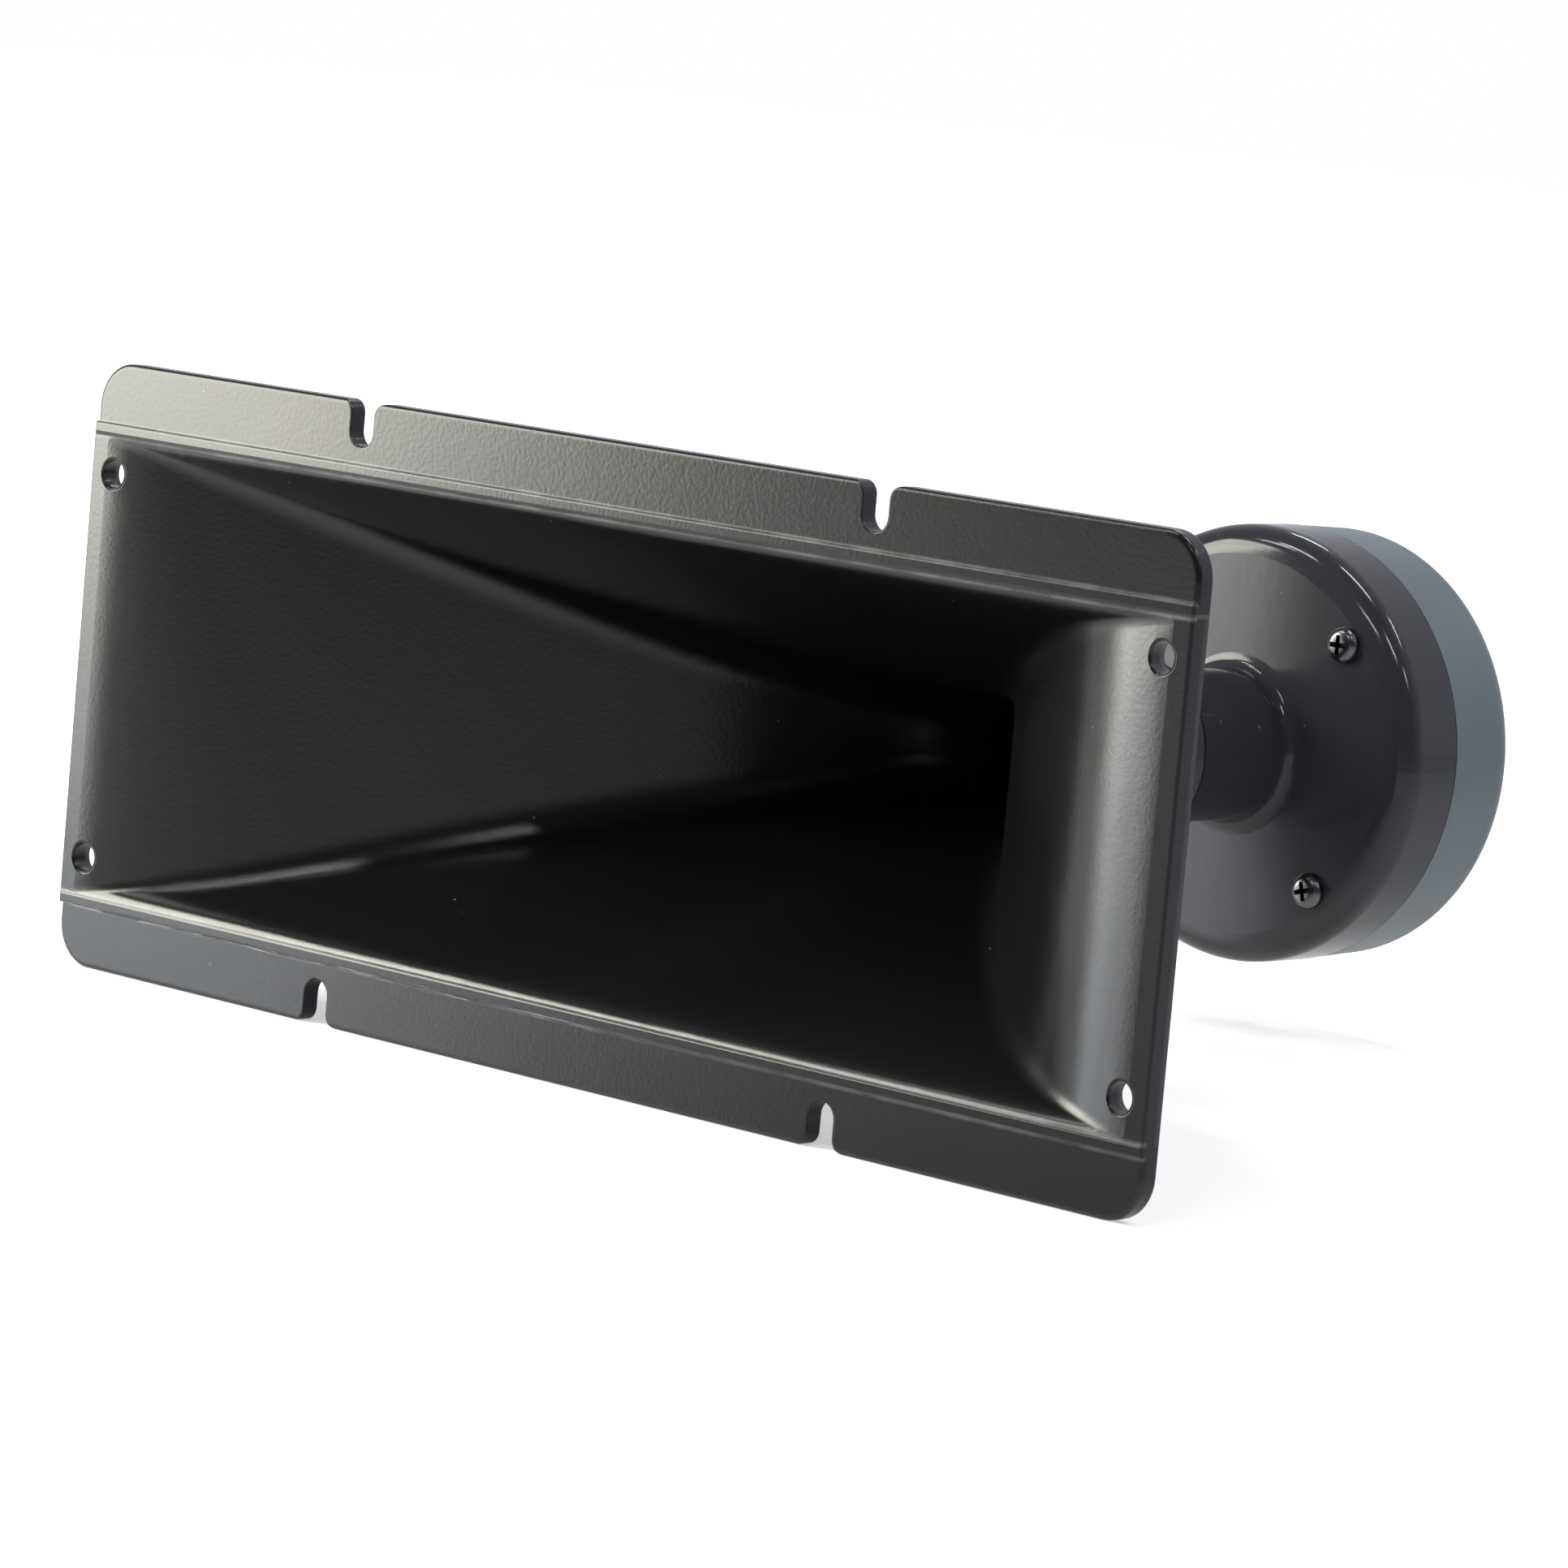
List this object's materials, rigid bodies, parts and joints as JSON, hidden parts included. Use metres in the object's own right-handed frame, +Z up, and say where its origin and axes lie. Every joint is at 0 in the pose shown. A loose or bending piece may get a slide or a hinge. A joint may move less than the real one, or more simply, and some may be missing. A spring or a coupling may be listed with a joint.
{
  "type": "horn tweeter",
  "caption": "Wide-dispersion rectangular horn with a bolt-through flange and edge notches, fed by a small round dynamic driver on a short neck behind it.",
  "frame": {"origin": "centre of the flange's flat rear face, on the horn's axis, in the middle of the four corner mounting holes", "axes": "+X along the flange's long side, to the right as seen from the front; +Y back along the horn's axis towards the driver, so the mouth faces -Y; +Z up"},
  "size_m": [0.2666, 0.21, 0.1124],
  "materials": {
    "horn_abs": "dark charcoal moulded ABS, fine satin texture",
    "cover_abs": "black moulded ABS, polished",
    "housing_abs": "blue-grey moulded ABS, smooth satin",
    "seal_rubber": "black rubber",
    "screw_black": "black oxidised steel",
    "plug_abs": "black moulded ABS",
    "dome_film": "formed titanium-coloured foil",
    "surround_film": "amber formed polymer film",
    "former_foil": "amber polyimide",
    "copper_wire": "enamelled copper winding",
    "screw_zinc": "zinc-plated steel",
    "brass_plated": "tin-plated brass",
    "foam": "black closed-cell foam",
    "felt": "grey felt",
    "plate_steel": "zinc-plated low-carbon steel",
    "ferrite": "dark ground ferrite",
    "laminate": "brown phenolic laminate",
    "rivet_brass": "brass",
    "lead_red": "red PVC insulation",
    "lead_black": "black PVC insulation"
  },
  "bodies": {
    "driver_and_horn": {"horn": "horn_abs", "front_cover": "cover_abs", "rear_housing": "housing_abs", "housing_seal": "seal_rubber", "cover_screws": "screw_black", "phase_plug": "plug_abs", "surround": "surround_film", "diaphragm_ring": "plug_abs", "diaphragm_ring_screws": "screw_zinc", "diaphragm_lugs": "brass_plated", "cover_gasket": "foam", "pole_pad": "felt", "top_plate": "plate_steel", "magnet_ring": "ferrite", "pole_yoke": "plate_steel", "terminal_board": "laminate", "terminal_rivets": "rivet_brass", "board_screws": "screw_zinc", "lead_positive": "lead_red", "lead_negative": "lead_black", "terminal_positive": "brass_plated", "terminal_negative": "brass_plated"},
    "diaphragm": {"diaphragm_dome": "dome_film", "voice_coil_former": "former_foil", "voice_coil": "copper_wire"}
  },
  "joints": [
    {"name": "diaphragm_travel", "type": "slide", "parent": "driver_and_horn", "child": "diaphragm", "axis": [0, 1, 0], "range_m": [-0.0003, 0.0003], "stiffness_N_per_m": 1500}
  ]
}
